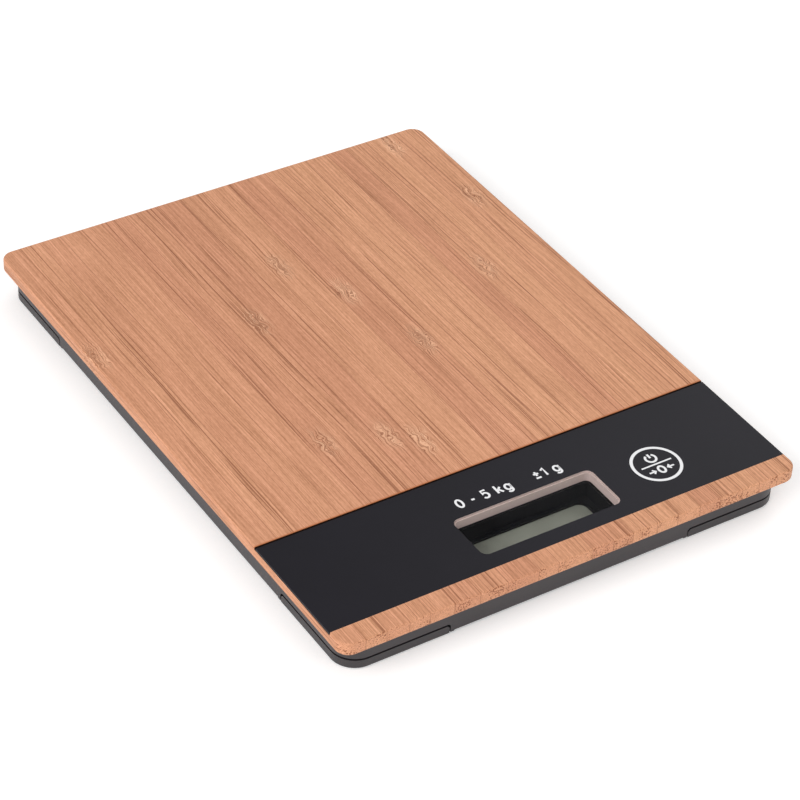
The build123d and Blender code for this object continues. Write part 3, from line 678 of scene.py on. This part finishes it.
def flex_load_cells():
    """Gives the load cell's plate under each pressing foot its own copy of its mesh."""
    for joint in frame["joints"]:
        if not joint["name"].startswith(FOOT_JOINT):
            continue
        name = "load_cell_" + joint["name"].removeprefix(FOOT_JOINT)
        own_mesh(nodes[name])


flex_load_cells()


# ---------------------------------------------------------------- printed marks

INK_THICKNESS = 0.03
# A path whose ends are nearer than this is closed.
SAME_POINT = 0.01
PEN_ROUNDNESS = 3
ink = printed_ink()


def arc(centre, radii, start, turn, steps=40):
    """Points along part of an ellipse, angles in degrees."""
    angles = [math.radians(start + turn * index / steps) for index in range(steps + 1)]
    return [
        (centre[0] + radii[0] * math.cos(angle), centre[1] + radii[1] * math.sin(angle))
        for angle in angles
    ]


def inked(name, paths, width):
    """A printed mark: paths in millimetres drawn with a round pen and pressed flat."""
    curve = bpy.data.curves.new(name, "CURVE")
    curve.dimensions = "3D"
    curve.bevel_depth = width / 2 * MM
    curve.bevel_resolution = PEN_ROUNDNESS
    curve.use_fill_caps = True
    for path in paths:
        closed = math.dist(path[0], path[-1]) < SAME_POINT
        points = path[:-1] if closed else path
        spline = curve.splines.new("POLY")
        spline.points.add(len(points) - 1)
        for point, (x, y) in zip(spline.points, points):
            point.co = (x * MM, y * MM, 0, 1)
        spline.use_cyclic_u = closed
    source = bpy.data.objects.new(name + "_source", curve)
    scene.collection.objects.link(source)
    graph = bpy.context.evaluated_depsgraph_get()
    mesh = bpy.data.meshes.new_from_object(source.evaluated_get(graph))
    bpy.data.objects.remove(source)
    for vertex in mesh.vertices:
        vertex.co.z *= INK_THICKNESS / width
        vertex.co.z += (panel_high.z + INK_THICKNESS / 2) * MM
    for face in mesh.polygons:
        face.use_smooth = True
    mesh.materials.clear()
    mesh.materials.append(ink)
    piece = bpy.data.objects.new(name, mesh)
    scene.collection.objects.link(piece)
    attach(piece, "scale_body")


# Width of each character and its pen paths, on a grid where a capital is 1 high. "+" is drawn
# as a plus or minus sign.
GLYPHS = {
    "0": (0.60, [arc((0.30, 0.5), (0.28, 0.5), 90, 360)]),
    "1": (0.34, [[(0.02, 0.78), (0.30, 1.0), (0.30, 0.0)]]),
    "5": (0.60, [[(0.54, 1.0), (0.10, 1.0), (0.05, 0.52)]
                 + arc((0.27, 0.33), (0.30, 0.33), 120, -265)]),
    "k": (0.56, [[(0.04, 0.0), (0.04, 1.02)], [(0.50, 0.70), (0.06, 0.27)],
                 [(0.22, 0.43), (0.54, 0.0)]]),
    "g": (0.62, [arc((0.30, 0.35), (0.27, 0.35), 0, 360),
                 [(0.57, 0.70), (0.57, -0.05)] + arc((0.31, -0.05), (0.26, 0.25), 0, -150)]),
    "-": (0.44, [[(0.06, 0.42), (0.38, 0.42)]]),
    "+": (0.60, [[(0.30, 0.86), (0.30, 0.30)], [(0.04, 0.58), (0.56, 0.58)],
                 [(0.04, 0.04), (0.56, 0.04)]]),
    " ": (0.16, []),
}
GLYPH_GAP = 0.32


def lettering(name, text, left, base, height, pen):
    """A line of numerals and units that starts at left and stands on base."""
    paths = []
    x = left
    for character in text:
        width, strokes = GLYPHS[character]
        for stroke in strokes:
            paths.append([(x + px * height, base + py * height) for px, py in stroke])
        x += (width + GLYPH_GAP) * height
    inked(name, paths, pen)


KEY_RADIUS = 7.8
KEY_RING_PEN = 1.05
KEY_RING_STEPS = 120
KEY_BAR_HALF = 5.6
KEY_BAR_PEN = 0.62
MARK_PEN = 0.8
POWER_RISE = 3.0
POWER_RADIUS = 1.75
POWER_OPENING = 70
POWER_STEM = (3.2, 5.1)
ZERO_DROP = 2.9
ZERO_RADII = (1.05, 1.5)
ARROW_TIP = 2.2
ARROW_TAIL = 4.6
ARROW_BARB = (3.2, 0.9)
ARROW_PEN = 0.66


def key_marks():
    """A ring split by a bar: the open circle of a power mark above, a nought below."""
    ring = arc((key_x, key_y), (KEY_RADIUS, KEY_RADIUS), 0, 360, KEY_RING_STEPS)
    inked("print_key_ring", [ring], KEY_RING_PEN)
    bar = [(key_x - KEY_BAR_HALF, key_y), (key_x + KEY_BAR_HALF, key_y)]
    inked("print_key_bar", [bar], KEY_BAR_PEN)
    centre = (key_x, key_y + POWER_RISE)
    first = 90 + POWER_OPENING / 2
    open_circle = arc(centre, (POWER_RADIUS, POWER_RADIUS), first, 360 - POWER_OPENING)
    stem = [(key_x, key_y + rise) for rise in POWER_STEM]
    inked("print_power_mark", [open_circle, stem], MARK_PEN)
    middle = key_y - ZERO_DROP
    inked("print_zero", [arc((key_x, middle), ZERO_RADII, 90, 360)], MARK_PEN)
    barb_x, barb_y = ARROW_BARB
    for side, name in ((-1, "left"), (1, "right")):
        tip = (key_x + side * ARROW_TIP, middle)
        shaft = [tip, (key_x + side * ARROW_TAIL, middle)]
        back = key_x + side * barb_x
        head = [(back, middle + barb_y), tip, (back, middle - barb_y)]
        inked(f"print_arrow_{name}", [shaft, head], ARROW_PEN)


TEXT_RISE = 3.9
TEXT_HEIGHT = 3.5
TEXT_PEN = 0.76
CAPACITY_LEFT = -19.6
DIVISION_LEFT = 8.4


def capacity_marks():
    """Weighing range and division above the window."""
    base = window_high.y + TEXT_RISE
    lettering("print_capacity", "0 - 5 kg", CAPACITY_LEFT, base, TEXT_HEIGHT, TEXT_PEN)
    lettering("print_division", "+1 g", DIVISION_LEFT, base, TEXT_HEIGHT, TEXT_PEN)


key_marks()
capacity_marks()


# ---------------------------------------------------------------- floor, light and camera

LENS = 131.41
SENSOR_WIDTH = 36.0
# In metres.
CLIP_START = 0.05
CLIP_END = 20.0
# In degrees: how far the camera is round to the left, how far up, and how far it leans.
CAMERA_AZIMUTH = 34.4185
CAMERA_ELEVATION = 38.1622
CAMERA_ROLL = 3.3221
CAMERA_AIM = (3.165, -5.719, 0.0)
CAMERA_DISTANCE = 941.517


def camera():
    """A long lens from the front left, rolled a little."""
    data = bpy.data.cameras.new("camera")
    data.lens = LENS
    data.sensor_width = SENSOR_WIDTH
    data.clip_start = CLIP_START
    data.clip_end = CLIP_END
    made = bpy.data.objects.new("camera", data)
    scene.collection.objects.link(made)
    azimuth = math.radians(CAMERA_AZIMUTH)
    elevation = math.radians(CAMERA_ELEVATION)
    roll = math.radians(CAMERA_ROLL)
    aim = Vector(CAMERA_AIM) * MM
    distance = CAMERA_DISTANCE * MM
    forward = Vector((
        math.sin(azimuth) * math.cos(elevation),
        math.cos(azimuth) * math.cos(elevation),
        -math.sin(elevation),
    ))
    level = forward.cross(Vector((0, 0, 1))).normalized()
    raised = level.cross(forward)
    right = level * math.cos(roll) + raised * math.sin(roll)
    up = right.cross(forward)
    turn = Matrix((right, up, -forward)).transposed()
    made.matrix_world = Matrix.Translation(aim - forward * distance) @ turn.to_4x4()
    scene.camera = made


def area_light(name, place, size, power):
    """A rectangular softbox aimed at the origin, places and sizes in metres, power in watts."""
    data = bpy.data.lights.new(name, "AREA")
    data.shape = "RECTANGLE"
    data.size, data.size_y = size
    data.energy = power
    light = bpy.data.objects.new(name, data)
    scene.collection.objects.link(light)
    light.location = place
    aim = -Vector(place)
    light.rotation_mode = "QUATERNION"
    light.rotation_quaternion = aim.to_track_quat("-Z", "Y")


WORLD_STRENGTH = 0.62
# Name, place, size and power of each softbox.
SOFTBOXES = (
    ("softbox_left", (-0.95, -0.3, 0.75), (1.0, 0.6), 8.4),
    ("softbox_front", (0.1, -1.1, 0.7), (1.2, 0.6), 2.2),
    ("softbox_back", (0.95, 0.5, 0.85), (0.8, 0.8), 2.6),
)


def surroundings():
    """Soft even light all round, with softboxes at the left, in front and behind."""
    world = bpy.data.worlds.new("studio")
    world.use_nodes = True
    background = world.node_tree.nodes["Background"]
    background.inputs["Color"].default_value = WHITE
    background.inputs["Strength"].default_value = WORLD_STRENGTH
    scene.world = world
    for name, place, size, power in SOFTBOXES:
        area_light(name, place, size, power)


# The floor's half width in metres, and its gap under the feet, which keeps the faces apart.
FLOOR_HALF = 4.0
FLOOR_GAP = 0.02


def floor():
    """A square of paper that the scale stands on."""
    half = FLOOR_HALF
    mesh = bpy.data.meshes.new("floor")
    mesh.from_pydata(
        [(-half, -half, 0), (half, -half, 0), (half, half, 0), (-half, half, 0)],
        [],
        [(0, 1, 2, 3)],
    )
    mesh.materials.append(floor_paper())
    made = bpy.data.objects.new("floor", mesh)
    made.location.z = -FLOOR_GAP * MM
    scene.collection.objects.link(made)


camera()
surroundings()
floor()
scene.view_settings.view_transform = "Standard"
scene.view_settings.look = "None"
